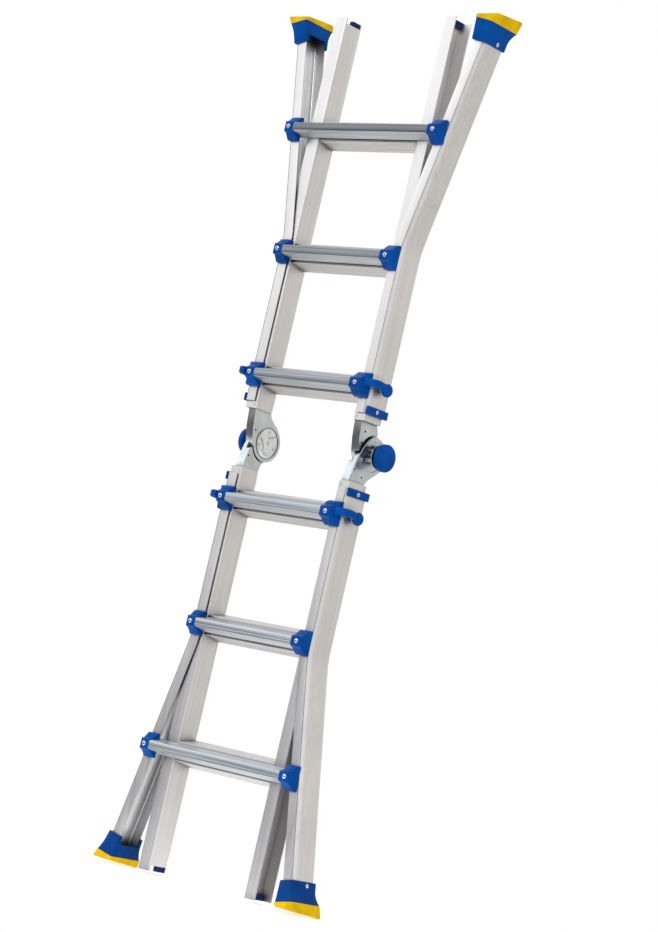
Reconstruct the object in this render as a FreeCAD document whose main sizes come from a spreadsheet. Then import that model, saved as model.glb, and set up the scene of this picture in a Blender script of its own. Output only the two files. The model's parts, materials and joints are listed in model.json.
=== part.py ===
"""Telescopic multi position ladder with four sections, two lockable hinges and flared feet.

Frame: X to the right, Y to the back, Z up along the rails, floor at Z = 0, millimetres.
The ladder is modelled straight and fully closed.  The pieces of the lower right quarter
are drawn, then mirrored across X = 0 and across the height of the hinge pins.
"""
import FreeCAD
import Part
import Sketcher
import math
import os

DIMENSIONS = [
    ("pivot_height", 971, "floor to hinge pins, half of the closed straight length"),
    ("pivot_back", 28, "Y of the hinge pins, just behind the rails"),
    ("rung_pitch", 280, "distance from tread to tread"),
    ("half_width", 180, "centre plane to the outer face of a straight outer rail"),
    ("rail_front", -39, "Y of the front face of the outer rails"),
    ("rail_depth", 65, "outer rail section along Y"),
    ("rail_flange", 30, "outer rail section along X"),
    ("rail_wall", 2.5, "wall of every rail"),
    ("rail_bevel", 5, "bevel on the outer corners of the outer rails"),
    ("bevel_inside", 3.5, "matching bevel inside the corners"),
    ("groove", 0.8, "line groove beside the front bevel"),
    ("guide_rib", 0.6, "height of the two ribs inside the outer web"),
    ("outer_gap", 82, "hinge pins to the near end of an outer rail"),
    ("bend_start", 422, "hinge pins to the start of the bend"),
    ("bend_radius", 240, "bend radius at the outer face of the rail"),
    ("flare_angle", 11.9, "outward flare of the outer rails in degrees"),
    ("bend_middle", 447, "hinge pins to the corner that the bend rounds off"),
    ("rail_inset", 6, "rail end above the sole line, inside the boot"),
    ("inner_face", 144, "centre plane to the web of an inner rail"),
    ("inner_front", -34, "Y of the front face of the inner rails"),
    ("inner_depth", 55, "inner rail section along Y"),
    ("inner_flange", 32, "inner rail section along X"),
    ("inner_bevel", 2.5, "bevel on the web corners of the inner rails"),
    ("inner_gap", 66, "hinge pins to the near end of an inner rail"),
    ("inner_reach", 964, "hinge pins to the free end of an inner rail"),
    ("notch_height", 12, "notch in the free end of the inner web"),
    ("tread_slope", 15, "slope of both rung treads in degrees"),
    ("rung_front", -68.5, "Y of the front face of the outer rungs"),
    ("rung_depth", 32.5, "outer rung section along Y"),
    ("rung_face", 17, "height of the front face of an outer rung"),
    ("rung_wall", 2, "wall of every rung"),
    ("inner_rung_front", -32, "Y of the front face of the inner rungs"),
    ("inner_rung_depth", 48, "inner rung section along Y"),
    ("inner_rung_face", 36, "height of the front face of an inner rung"),
    ("latch_reach", 141, "half length of the outer rung beside the hinge"),
    ("plain_reach", 143.5, "half length of the straight outer rung"),
    ("flared_reach", 196, "half length of the outer rung beside the feet"),
    ("bracket_width", 30.5, "plain rung bracket along X"),
    ("latch_width", 37, "rung bracket with a lock lever, along X"),
    ("boss_half", 12, "half height of a bracket at its front"),
    ("wing_half", 27, "half height of a bracket at the rail"),
    ("shank_radius", 2.5, "shank of the rivets and screws"),
    ("shank_length", 10, "length of those shanks"),
    ("head_radius", 4.5, "head of the rivets and screws"),
    ("head_height", 1.5, "thickness of those heads"),
    ("hole_play", 0.05, "gap around a shank"),
    ("stud_radius", 1.5, "shank of the small rivets in the hinge tongues"),
    ("stud_length", 7, "length of those shanks"),
    ("stud_head", 1, "thickness of their heads"),
    ("lock_back", -7, "Y of the lock pins"),
    ("lock_radius", 6, "lock pin"),
    ("lock_play", 0.5, "gap around a lock pin in the rails"),
    ("lock_tip", 147, "X of the tip of a lock pin"),
    ("grip_radius", 13, "round end of a lock lever"),
    ("grip_inner", 190, "X of the inner face of that round end"),
    ("grip_thick", 15, "round end along X"),
    ("lever_height", 16, "lock lever arm along Z"),
    ("disc_radius", 42, "hinge disc"),
    ("arm_radius", 45, "radius kept free around the hinge discs"),
    ("disc_thick", 10.5, "thickness of one hinge disc"),
    ("member_inner", 147, "X of the inner face of the hinge members"),
    ("member_outer", 169, "X of the outer face of the hinge members"),
    ("member_wall", 2.5, "sheet of the hinge members"),
    ("tongue_reach", 120, "hinge pins to the end of the tongue in the rail"),
    ("tongue_play", 1.5, "gap between the tongue and the rail flanges"),
    ("pin_radius", 8, "hinge pin"),
    ("pin_play", 0.05, "running clearance of the hinge pin"),
    ("pin_head", 14, "radius of the inner head of the hinge pin"),
    ("knob_radius", 30, "hinge knob"),
    ("knob_inner", 196, "X of the inner face of the hinge knob"),
    ("knob_thick", 13, "hinge knob along X"),
    ("hub_radius", 16, "hub behind the hinge knob"),
    ("hub_inner", 182, "X of the inner face of that hub"),
    ("bolt_circle", 21, "circle of the lock bolts"),
    ("bolt_radius", 4, "lock bolt"),
    ("bolt_tip", 168, "X of the lock bolt tips"),
    ("bolt_play", 0.3, "gap around a lock bolt"),
    ("plate_radius", 26, "plate that carries the lock bolts"),
    ("foot_rise", 24.5, "floor to the sole line at the outer face of the rail"),
    ("boot_height", 44, "boot along the flared rail"),
    ("skirt_height", 16, "lower part of the boot, which widens to the sole"),
    ("boot_wall", 3, "wall of the boot around the rail"),
    ("boot_play", 0.2, "gap between the boot and the rail"),
    ("sole_radius", 112, "rocker radius under the sole"),
    ("sole_flat", 2.5, "depth that the floor cuts off the rocker"),
]

PIVOT = "Dims.pivot_height"
FAR = "400"
RIVET_X = "Dims.inner_face + 6.5"
RIVET_DROPS = ("Dims.inner_gap + 8", "Dims.inner_gap + 21", "Dims.inner_gap + 34")
LATCH, PLAIN, FLARED = 1, 2, 3
REACH = {LATCH: "Dims.latch_reach", PLAIN: "Dims.plain_reach", FLARED: "Dims.flared_reach"}
FOOT_X = ("(Dims.half_width + (Dims.pivot_height - Dims.foot_rise - Dims.bend_middle)"
          " * tan(Dims.flare_angle))")
SPINE_GUESS = ((180, 889), (180, 549), (185.2, 499.5), (284, 30))
ALONG_X = FreeCAD.Rotation(FreeCAD.Vector(0, 1, 0), 90)
ALONG_Y = FreeCAD.Rotation(FreeCAD.Vector(1, 0, 0), -90)
ACROSS_X = FreeCAD.Vector(1, 0, 0)
ACROSS_Z = FreeCAD.Vector(0, 0, 1)


def make_sheet(doc):
    """Put every driving dimension into the spreadsheet under its alias."""
    sheet = doc.addObject("Spreadsheet::Sheet", "Dims")
    for row, (alias, value, note) in enumerate(DIMENSIONS, start=1):
        sheet.set("A%d" % row, alias)
        sheet.set("B%d" % row, str(value))
        sheet.set("C%d" % row, note)
        sheet.setAlias("B%d" % row, alias)
    doc.recompute()


def make_body(doc, label):
    body = doc.addObject("PartDesign::Body", label)
    body.Label = label
    return body


def make_sketch(body, plane, offset="0"):
    """Attach a sketch to one of the body's origin planes, moved along the plane's normal."""
    sketch = body.newObject("Sketcher::SketchObject", body.Name + "_sketch")
    support = [item for item in body.Origin.OriginFeatures if item.Role == plane][0]
    sketch.AttachmentSupport = [(support, "")]
    sketch.MapMode = "FlatFace"
    sketch.setExpression("AttachmentOffset.Base.z", offset)
    return sketch


def constrain(sketch, kind, geometry, point, formula, guess=1.0):
    """Place one point, or size one circle when point is None, by a formula."""
    if point is None:
        index = sketch.addConstraint(Sketcher.Constraint(kind, geometry, guess))
    else:
        index = sketch.addConstraint(Sketcher.Constraint(kind, geometry, point, guess))
    sketch.setExpression("Constraints[%d]" % index, formula)


def start_corner(number, count):
    """Corner of a regular polygon, the first guess before the sketch is solved."""
    angle = 2 * math.pi * number / count
    return FreeCAD.Vector(50 * math.cos(angle), 50 * math.sin(angle), 0)


def add_polygon(sketch, corners):
    """Closed outline through corners given as pairs of formulas."""
    first = sketch.GeometryCount
    count = len(corners)
    for number in range(count):
        line = Part.LineSegment(start_corner(number, count), start_corner(number + 1, count))
        sketch.addGeometry(line, False)
    for number in range(count):
        following = first + (number + 1) % count
        sketch.addConstraint(Sketcher.Constraint("Coincident", first + number, 2, following, 1))
    for number, (across, up) in enumerate(corners):
        constrain(sketch, "DistanceX", first + number, 1, across)
        constrain(sketch, "DistanceY", first + number, 1, up)


def add_circle(sketch, across, up, radius):
    index = sketch.addGeometry(Part.Circle(FreeCAD.Vector(), FreeCAD.Vector(0, 0, 1), 10), False)
    constrain(sketch, "DistanceX", index, 3, across)
    constrain(sketch, "DistanceY", index, 3, up)
    constrain(sketch, "Radius", index, None, radius)


def add_feature(body, kind, sketch, length, backwards):
    feature = body.newObject("PartDesign::" + kind, body.Name + "_" + kind.lower())
    feature.Profile = sketch
    feature.Reversed = backwards
    feature.setExpression("Length", length)
    body.Tip = feature


def pad(body, plane, offset, length, corners=None, circle=None, backwards=False):
    """Add material from an outline on the moved plane; length runs along its normal."""
    sketch = make_sketch(body, plane, offset)
    if corners:
        add_polygon(sketch, corners)
    if circle:
        add_circle(sketch, *circle)
    add_feature(body, "Pad", sketch, length, backwards)


def cut(body, plane, offset, length, corners=None, circle=None):
    """Remove material from the moved plane along its normal."""
    sketch = make_sketch(body, plane, offset)
    if corners:
        add_polygon(sketch, corners)
    if circle:
        add_circle(sketch, *circle)
    add_feature(body, "Pocket", sketch, length, True)


def box_corners(left, right, bottom, top):
    return [(left, bottom), (right, bottom), (right, top), (left, top)]


def level(rung):
    """Height of a lower rung; rung 1 is beside the hinge."""
    return "(%s - %g * Dims.rung_pitch)" % (PIVOT, rung - 0.5)


def outer_rail_corners():
    """C section, open towards the middle, with bevelled corners, a groove and two ribs."""
    outside = "Dims.half_width"
    lip = "Dims.half_width - Dims.rail_flange"
    web = "Dims.half_width - Dims.rail_wall"
    rib = web + " - Dims.guide_rib"
    front = "Dims.rail_front"
    back = "Dims.rail_front + Dims.rail_depth"
    corners = [
        (lip, front),
        (outside + " - Dims.rail_bevel - Dims.groove", front),
        (outside + " - Dims.rail_bevel - Dims.groove", front + " + Dims.groove"),
        (outside + " - Dims.rail_bevel", front + " + Dims.groove"),
        (outside + " - Dims.rail_bevel", front),
        (outside, front + " + Dims.rail_bevel"),
        (outside, back + " - Dims.rail_bevel"),
        (outside + " - Dims.rail_bevel", back),
        (lip, back),
        (lip, back + " - Dims.rail_wall"),
        (web + " - Dims.bevel_inside", back + " - Dims.rail_wall"),
        (web, back + " - Dims.rail_wall - Dims.bevel_inside"),
    ]
    for share in (0.7, 0.3):
        middle = front + " + %g * Dims.rail_depth" % share
        corners += [
            (web, middle + " + 1"),
            (rib, middle + " + 1"),
            (rib, middle + " - 1"),
            (web, middle + " - 1"),
        ]
    corners += [
        (web, front + " + Dims.rail_wall + Dims.bevel_inside"),
        (web + " - Dims.bevel_inside", front + " + Dims.rail_wall"),
        (lip, front + " + Dims.rail_wall"),
    ]
    return corners


def add_rail_spine(body):
    """Path of the outer face: straight, bent by an arc, then flared down to the boot."""
    spine = make_sketch(body, "XZ_Plane")
    centre_x = "Dims.half_width + Dims.bend_radius"
    top = PIVOT + " - Dims.outer_gap"
    bend = PIVOT + " - Dims.bend_start"
    bend_x = centre_x + " - Dims.bend_radius * cos(Dims.flare_angle)"
    bend_z = bend + " - Dims.bend_radius * sin(Dims.flare_angle)"
    end_x = FOOT_X + " - Dims.rail_inset * sin(Dims.flare_angle)"
    end_z = "Dims.foot_rise + Dims.rail_inset * cos(Dims.flare_angle)"
    near, turn_in, turn_out, far = [FreeCAD.Vector(*place) for place in SPINE_GUESS]
    spine.addGeometry(Part.LineSegment(near, turn_in), False)
    centre = FreeCAD.Vector(420, 549, 0)
    circle = Part.Circle(centre, FreeCAD.Vector(0, 0, 1), 240)
    spine.addGeometry(Part.ArcOfCircle(circle, math.pi, math.radians(191.9)), False)
    spine.addGeometry(Part.LineSegment(turn_out, far), False)
    constrain(spine, "DistanceX", 0, 1, "Dims.half_width", near.x)
    constrain(spine, "DistanceY", 0, 1, top, near.y)
    constrain(spine, "DistanceX", 0, 2, "Dims.half_width", turn_in.x)
    constrain(spine, "DistanceY", 0, 2, bend, turn_in.y)
    constrain(spine, "DistanceX", 1, 3, centre_x, centre.x)
    constrain(spine, "DistanceY", 1, 3, bend, centre.y)
    constrain(spine, "DistanceX", 2, 1, bend_x, turn_out.x)
    constrain(spine, "DistanceY", 2, 1, bend_z, turn_out.y)
    constrain(spine, "DistanceX", 2, 2, end_x, far.x)
    constrain(spine, "DistanceY", 2, 2, end_z, far.y)
    spine.addConstraint(Sketcher.Constraint("Coincident", 0, 2, 1, 1))
    constrain(spine, "DistanceY", 1, 2, bend_z, turn_out.y)
    return spine


def make_outer_rail(doc):
    body = make_body(doc, "lower_outer_rail_right")
    profile = make_sketch(body, "XY_Plane", PIVOT + " - Dims.outer_gap")
    add_polygon(profile, outer_rail_corners())
    spine = add_rail_spine(body)
    doc.recompute()
    sweep = body.newObject("PartDesign::AdditivePipe", body.Name + "_sweep")
    sweep.Profile = profile
    sweep.Spine = (spine, ["Edge1", "Edge2", "Edge3"])
    body.Tip = sweep
    hole = ("Dims.lock_back", level(LATCH), "Dims.lock_radius + Dims.lock_play")
    cut(body, "YZ_Plane", "Dims.half_width - 2 * Dims.rail_wall", "3 * Dims.rail_wall", circle=hole)
    return body


def make_inner_rail(doc):
    """Straight C section, open outwards, notched at its free end."""
    body = make_body(doc, "lower_inner_rail_right")
    face = "Dims.inner_face"
    web = face + " + Dims.rail_wall"
    lip = face + " + Dims.inner_flange"
    front = "Dims.inner_front"
    back = "Dims.inner_front + Dims.inner_depth"
    corners = [
        (face + " + Dims.inner_bevel", front),
        (lip, front),
        (lip, front + " + Dims.rail_wall"),
        (web, front + " + Dims.rail_wall"),
        (web, back + " - Dims.rail_wall"),
        (lip, back + " - Dims.rail_wall"),
        (lip, back),
        (face + " + Dims.inner_bevel", back),
        (face, back + " - Dims.inner_bevel"),
        (face, front + " + Dims.inner_bevel"),
    ]
    pad(body, "XY_Plane", PIVOT + " - Dims.inner_reach", "Dims.inner_reach - Dims.inner_gap", corners)
    end = PIVOT + " - Dims.inner_reach"
    notch = box_corners(front + " + 2 * Dims.rail_wall", back + " - 2 * Dims.rail_wall",
                        end + " - 1", end + " + Dims.notch_height")
    cut(body, "YZ_Plane", face + " - 1", "Dims.rail_wall + 1.5", notch)
    for rung in (LATCH, PLAIN, FLARED):
        hole = ("Dims.lock_back", level(rung), "Dims.lock_radius + Dims.lock_play")
        cut(body, "YZ_Plane", face + " - 1", "2 * Dims.rail_wall", circle=hole)
    for drop in RIVET_DROPS:
        hole = (RIVET_X, PIVOT + " - (%s)" % drop, "Dims.stud_radius + Dims.hole_play")
        cut(body, "XZ_Plane", "-(%s + Dims.rail_wall + 1)" % front, "Dims.rail_wall + 2", circle=hole)
    return body


def tread_corners(front, depth, face, height, inset):
    """Trapezoid with both treads sloped; inset moves every side inwards by the wall."""
    near = "(0.5 * %s + %s * tan(Dims.tread_slope) - %s / cos(Dims.tread_slope))" % (face, inset, inset)
    far = "(%s + (%s - 2 * %s) * tan(Dims.tread_slope))" % (near, depth, inset)
    front_y = "%s + %s" % (front, inset)
    back_y = "%s + %s - %s" % (front, depth, inset)
    return [
        (front_y, "%s - %s" % (height, near)),
        (back_y, "%s - %s" % (height, far)),
        (back_y, "%s + %s" % (height, far)),
        (front_y, "%s + %s" % (height, near)),
    ]


def make_tube(doc, label, front, depth, face, height, reach):
    """Rung: a hollow trapezoid from -reach to +reach."""
    body = make_body(doc, label)
    start = "-(%s)" % reach
    sketch = make_sketch(body, "YZ_Plane", start)
    add_polygon(sketch, tread_corners(front, depth, face, height, "0"))
    add_polygon(sketch, tread_corners(front, depth, face, height, "Dims.rung_wall"))
    add_feature(body, "Pad", sketch, "2 * (%s)" % reach, False)
    return body


def make_outer_rung(doc, rung):
    return make_tube(doc, "lower_outer_rung_%d" % rung, "Dims.rung_front", "Dims.rung_depth",
                     "Dims.rung_face", level(rung), REACH[rung])


def make_inner_rung(doc, rung):
    return make_tube(doc, "lower_inner_rung_%d" % rung, "Dims.inner_rung_front",
                     "Dims.inner_rung_depth", "Dims.inner_rung_face", level(rung), "Dims.inner_face")


def bracket_corners(height):
    """Side view of a bracket: narrow boss in front, wide wings on the rail."""
    front = "Dims.rung_front"
    back = "Dims.rail_front"
    steps = [
        (front, "Dims.boss_half"),
        (front + " + 7", "Dims.boss_half + 1.5"),
        (back + " - 7", "Dims.wing_half"),
        (back, "Dims.wing_half"),
    ]
    below = [(across, "%s - (%s)" % (height, half)) for across, half in steps]
    above = [(across, "%s + (%s)" % (height, half)) for across, half in reversed(steps)]
    return below + above


def make_bracket(doc, rung):
    """Moulded bracket that holds one end of an outer rung against the front of the rail."""
    body = make_body(doc, "bracket_%d" % rung)
    width = "Dims.latch_width" if rung == LATCH else "Dims.bracket_width"
    pad(body, "YZ_Plane", REACH[rung], width, bracket_corners(level(rung)))
    hole = (rivet_x(rung), level(rung), "Dims.shank_radius + Dims.hole_play")
    start = "-(Dims.rung_front + Dims.shank_length)"
    cut(body, "XZ_Plane", start, "Dims.shank_length + 1", circle=hole)
    return body


def rivet_x(rung):
    return "(%s + 15.5)" % REACH[rung]


def make_pin(doc, name, radius, length, place, turn):
    """Cylinder whose own axis is turned from Z by turn, starting at place."""
    pin = doc.addObject("Part::Cylinder", name)
    pin.setExpression("Radius", radius)
    pin.setExpression("Height", length)
    pin.Placement = FreeCAD.Placement(FreeCAD.Vector(), turn)
    for axis, formula in zip("xyz", place):
        pin.setExpression("Placement.Base." + axis, formula)
    return pin


def fuse(doc, label, members):
    joined = doc.addObject("Part::MultiFuse", label)
    joined.Label = label
    joined.Shapes = members
    return joined


def group(doc, label, members):
    """Several separate solids under one name."""
    together = doc.addObject("Part::Compound", label)
    together.Label = label
    together.Links = members
    return together


def mirror(doc, source, label, normal):
    """Mirror image across X = 0 or across the height of the hinge pins."""
    image = doc.addObject("Part::Mirroring", label)
    image.Label = label
    image.Source = source
    image.Normal = normal
    if normal.z:
        image.setExpression("Base.z", PIVOT)
    return image


def make_front_rivet(doc, rung):
    """Rivet through the front of a bracket."""
    name = "front_rivet_%d" % rung
    head = make_pin(doc, name + "_head", "Dims.head_radius", "Dims.head_height",
                    (rivet_x(rung), "Dims.rung_front - Dims.head_height", level(rung)), ALONG_Y)
    shank = make_pin(doc, name + "_shank", "Dims.shank_radius", "Dims.shank_length",
                     (rivet_x(rung), "Dims.rung_front - 0.5", level(rung)), ALONG_Y)
    return fuse(doc, name, [head, shank])


def make_guide(doc):
    """Plastic end guide capping the hinge end of the outer web."""
    body = make_body(doc, "guide")
    outside = "Dims.half_width"
    top = PIVOT + " - Dims.outer_gap"
    corners = [
        (outside + " - Dims.rail_wall", top),
        (outside, top),
        (outside, top + " - 16"),
        (outside + " + 3.5", top + " - 16"),
        (outside + " + 3.5", top + " + 1.5"),
        (outside + " - Dims.rail_wall", top + " + 1.5"),
    ]
    pad(body, "XZ_Plane", "-(Dims.rail_front + 1)", "Dims.rail_depth + 2", corners, backwards=True)
    return body


def make_guide_screw(doc):
    place = ("Dims.half_width + 3.5", "Dims.lock_back", PIVOT + " - Dims.outer_gap - 8")
    return make_pin(doc, "guide_screw", "Dims.head_radius", "Dims.head_height", place, ALONG_X)


def make_flared_body(doc, label):
    """Body whose own Z runs up the flared rail and whose X = 0 is the rail's outer face."""
    body = make_body(doc, label)
    turn = FreeCAD.Rotation(FreeCAD.Vector(0, -1, 0), 10)
    body.Placement = FreeCAD.Placement(FreeCAD.Vector(), turn)
    body.setExpression("Placement.Rotation.Angle", "Dims.flare_angle")
    body.setExpression("Placement.Base.x", FOOT_X)
    body.setExpression("Placement.Base.z", "Dims.foot_rise")
    return body


def add_loft(body, lower, upper):
    loft = body.newObject("PartDesign::AdditiveLoft", body.Name + "_loft")
    loft.Profile = lower
    loft.Sections = [upper]
    body.Tip = loft


def make_boot(doc):
    """Moulded boot: a sleeve around the rail that widens to the sole below."""
    body = make_flared_body(doc, "lower_boot_right")
    inner = "-(Dims.rail_flange + Dims.boot_wall)"
    front = "Dims.rail_front - Dims.boot_wall"
    back = "Dims.rail_front + Dims.rail_depth + Dims.boot_wall"
    sleeve = box_corners(inner, "Dims.boot_wall", front, back)
    skirt = box_corners(inner + " - 10", "Dims.boot_wall + 6", front + " - 12", back + " + 10")
    lower = make_sketch(body, "XY_Plane")
    add_polygon(lower, skirt)
    upper = make_sketch(body, "XY_Plane", "Dims.skirt_height")
    add_polygon(upper, sleeve)
    body.Document.recompute()
    add_loft(body, lower, upper)
    pad(body, "XY_Plane", "Dims.skirt_height", "Dims.boot_height - Dims.skirt_height", sleeve)
    play = "Dims.boot_play"
    socket = box_corners("-(Dims.rail_flange + %s)" % play, play, "Dims.rail_front - " + play,
                         "Dims.rail_front + Dims.rail_depth + " + play)
    cut(body, "XY_Plane", "Dims.rail_inset - 1", FAR, socket)
    window = box_corners("Dims.rail_front - 20", back + " - 8", "Dims.skirt_height + 12", FAR)
    cut(body, "YZ_Plane", inner + " - 20", "20 + 2 * Dims.boot_wall", window)
    return body


def make_boot_screw(doc):
    """Screw in the outer face of the boot, square to the flared rail."""
    screw = make_pin(doc, "boot_screw", "Dims.head_radius", "Dims.head_height",
                     (FOOT_X + " - (Dims.boot_height - 8) * sin(Dims.flare_angle)"
                      " + Dims.boot_wall * cos(Dims.flare_angle)",
                      "Dims.lock_back + 6",
                      "Dims.foot_rise + (Dims.boot_height - 8) * cos(Dims.flare_angle)"
                      " + Dims.boot_wall * sin(Dims.flare_angle)"),
                     FreeCAD.Rotation(FreeCAD.Vector(0, 1, 0), 80))
    screw.setExpression("Placement.Rotation.Angle", "90 - Dims.flare_angle")
    return screw


def make_sole(doc):
    """Rubber sole: a wedge under the boot, rounded to a rocker and cut flat by the floor."""
    wedge = make_body(doc, "sole_wedge")
    slope = "Dims.flare_angle"
    inner = "(Dims.rail_flange + Dims.boot_wall + 10)"
    outer = "(Dims.boot_wall + 6)"
    corners = [
        ("%s - %s * cos(%s)" % (FOOT_X, inner, slope), "Dims.foot_rise - %s * sin(%s)" % (inner, slope)),
        (FOOT_X + " - 40", "0"),
        (FOOT_X + " + 21", "0"),
        ("%s + %s * cos(%s)" % (FOOT_X, outer, slope), "Dims.foot_rise + %s * sin(%s)" % (outer, slope)),
    ]
    pad(wedge, "XZ_Plane", "-(Dims.rail_front - 15)", "Dims.rail_depth + 33", corners, backwards=True)
    rocker = make_pin(doc, "sole_rocker", "Dims.sole_radius", FAR,
                      ("0", "0", "Dims.sole_radius - Dims.sole_flat"), ALONG_X)
    sole = doc.addObject("Part::MultiCommon", "lower_sole_right")
    sole.Label = "lower_sole_right"
    sole.Shapes = [wedge, rocker]
    return sole


def make_insert(doc):
    """Plastic end guide held in the free end of an inner rail."""
    body = make_body(doc, "insert")
    corners = box_corners("Dims.inner_front + 16", "Dims.inner_front + Dims.inner_depth - 10",
                          PIVOT + " - Dims.inner_reach", PIVOT + " - Dims.inner_reach + 30")
    pad(body, "YZ_Plane", "Dims.inner_face + Dims.rail_wall + 0.1", "Dims.inner_flange - 6", corners)
    return body


def member_corners(side):
    """Side view of a hinge member: tongue in the rail, then a shoulder that meets the disc."""
    front = "Dims.inner_front + Dims.rail_wall + Dims.tongue_play"
    back = "Dims.inner_front + Dims.inner_depth - Dims.rail_wall - Dims.tongue_play"
    outline = [
        (front, "Dims.tongue_reach"),
        (back, "Dims.tongue_reach"),
        (back, "Dims.inner_gap"),
        ("Dims.pivot_back - 4", "Dims.arm_radius + 1"),
        ("Dims.pivot_back + 29", "30"),
        ("Dims.pivot_back", "0"),
        ("Dims.pivot_back - Dims.disc_radius", "0"),
        (front, "Dims.inner_gap - 6"),
    ]
    return [(across, "%s %s (%s)" % (PIVOT, side, reach)) for across, reach in outline]


def make_hinge_member(doc, label, side, disc_start, gap_start):
    """Pressed hinge member: an arm of full thickness and a disc of half that thickness."""
    body = make_body(doc, label)
    full = "Dims.member_outer - Dims.member_inner"
    sheet = "Dims.member_wall"
    pad(body, "YZ_Plane", "Dims.member_inner", full, member_corners(side))
    cut(body, "YZ_Plane", gap_start, full + " - Dims.disc_thick",
        circle=("Dims.pivot_back", PIVOT, "Dims.arm_radius"))
    pad(body, "YZ_Plane", disc_start, "Dims.disc_thick",
        circle=("Dims.pivot_back", PIVOT, "Dims.disc_radius"))
    cut(body, "YZ_Plane", "Dims.member_inner - 1", full + " + 2",
        circle=("Dims.pivot_back", PIVOT, "Dims.pin_radius + Dims.pin_play"))
    front = "Dims.inner_front + Dims.rail_wall + Dims.tongue_play + " + sheet
    hollow = [
        (front, "Dims.tongue_reach + 1"),
        ("Dims.inner_front + Dims.inner_depth", "Dims.tongue_reach + 1"),
        ("Dims.inner_front + Dims.inner_depth", "Dims.arm_radius + 8"),
        (front, "Dims.arm_radius + 8"),
    ]
    hollow = [(across, "%s %s (%s)" % (PIVOT, side, reach)) for across, reach in hollow]
    cut(body, "YZ_Plane", "Dims.member_inner + " + sheet, full + " - 2 * " + sheet, hollow)
    for drop in RIVET_DROPS:
        hole = (RIVET_X, "%s %s (%s)" % (PIVOT, side, drop), "Dims.stud_radius + Dims.hole_play")
        cut(body, "XZ_Plane", "-(%s + 1)" % front, sheet + " + 2", circle=hole)
    return body


def bolt_places():
    """Centres of the three lock bolts around the hinge pin."""
    return [("Dims.pivot_back + Dims.bolt_circle * cos(%d)" % angle,
             PIVOT + " + Dims.bolt_circle * sin(%d)" % angle) for angle in (90, 210, 330)]


def make_lower_hinge(doc):
    """The outer disc belongs to the lower member, and the lock bolts slide through it."""
    body = make_hinge_member(doc, "lower_hinge_right", "-",
                             "Dims.member_outer - Dims.disc_thick", "Dims.member_inner")
    for across, up in bolt_places():
        cut(body, "YZ_Plane", "Dims.member_outer - Dims.disc_thick - 1", "Dims.disc_thick + 2",
            circle=(across, up, "Dims.bolt_radius + Dims.bolt_play"))
    return body


def make_upper_hinge(doc):
    return make_hinge_member(doc, "upper_hinge_right", "+",
                             "Dims.member_inner", "Dims.member_inner + Dims.disc_thick")


def make_hinge_pin(doc):
    """Hinge pin with a flat inner head; its outer end guides the knob."""
    axis = ("Dims.pivot_back", PIVOT)
    head = make_pin(doc, "hinge_pin_head", "Dims.pin_head", "Dims.member_wall",
                    ("Dims.member_inner - Dims.member_wall - 0.5",) + axis, ALONG_X)
    shaft = make_pin(doc, "hinge_pin_shaft", "Dims.pin_radius", "47",
                     ("Dims.member_inner - Dims.member_wall - 0.5",) + axis, ALONG_X)
    return fuse(doc, "hinge_pin", [head, shaft])


def make_knob(doc):
    """Push knob: a round cap on a hub that slides over the hinge pin."""
    body = make_body(doc, "hinge_knob_right")
    axis = ("Dims.pivot_back", PIVOT)
    pad(body, "YZ_Plane", "Dims.knob_inner", "Dims.knob_thick", circle=axis + ("Dims.knob_radius",))
    pad(body, "YZ_Plane", "Dims.hub_inner", "Dims.knob_inner - Dims.hub_inner",
        circle=axis + ("Dims.hub_radius",))
    cut(body, "YZ_Plane", "Dims.hub_inner - 1", "Dims.knob_inner - Dims.hub_inner + 8",
        circle=axis + ("Dims.pin_radius + 0.3",))
    cut(body, "YZ_Plane", "Dims.hub_inner - 1", "Dims.knob_inner - Dims.hub_inner - 1",
        circle=axis + ("Dims.hub_radius - 3",))
    return body


def make_bolts(doc):
    """Three lock bolts on a round plate around the hub of the knob."""
    body = make_body(doc, "hinge_bolts_right")
    axis = ("Dims.pivot_back", PIVOT)
    pad(body, "YZ_Plane", "Dims.hub_inner + 3", "Dims.member_wall", circle=axis + ("Dims.plate_radius",))
    for across, up in bolt_places():
        pad(body, "YZ_Plane", "Dims.bolt_tip", "Dims.hub_inner + 4 - Dims.bolt_tip",
            circle=(across, up, "Dims.bolt_radius"))
    cut(body, "YZ_Plane", "Dims.hub_inner", "10", circle=axis + ("Dims.hub_radius + Dims.hole_play",))
    return body


def make_lever(doc):
    """Lock lever: an arm beside the bracket with a round grip behind the lock pin."""
    body = make_body(doc, "lower_lock_lever_right")
    outside = "Dims.half_width"
    grip = "Dims.grip_inner + Dims.grip_thick"
    arm = [
        (outside + " - 1.4", "Dims.rail_front - 20"),
        (outside + " + 5", "Dims.rail_front - 21"),
        (outside + " + 14", "Dims.rail_front - 8"),
        (grip, "Dims.lock_back - Dims.grip_radius"),
        (grip, "Dims.lock_back"),
        ("Dims.grip_inner + 2", "Dims.lock_back"),
        ("Dims.grip_inner + 2", "Dims.lock_back - 9"),
        (outside + " + 1.5", "Dims.rail_front + 2"),
    ]
    pad(body, "XY_Plane", level(LATCH) + " - 0.5 * Dims.lever_height", "Dims.lever_height", arm)
    pad(body, "YZ_Plane", "Dims.grip_inner", "Dims.grip_thick",
        circle=("Dims.lock_back", level(LATCH), "Dims.grip_radius"))
    cut(body, "YZ_Plane", "Dims.grip_inner - 1", "0.7 * Dims.grip_thick + 1",
        circle=("Dims.lock_back", level(LATCH), "Dims.lock_radius + Dims.hole_play"))
    return body


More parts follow.
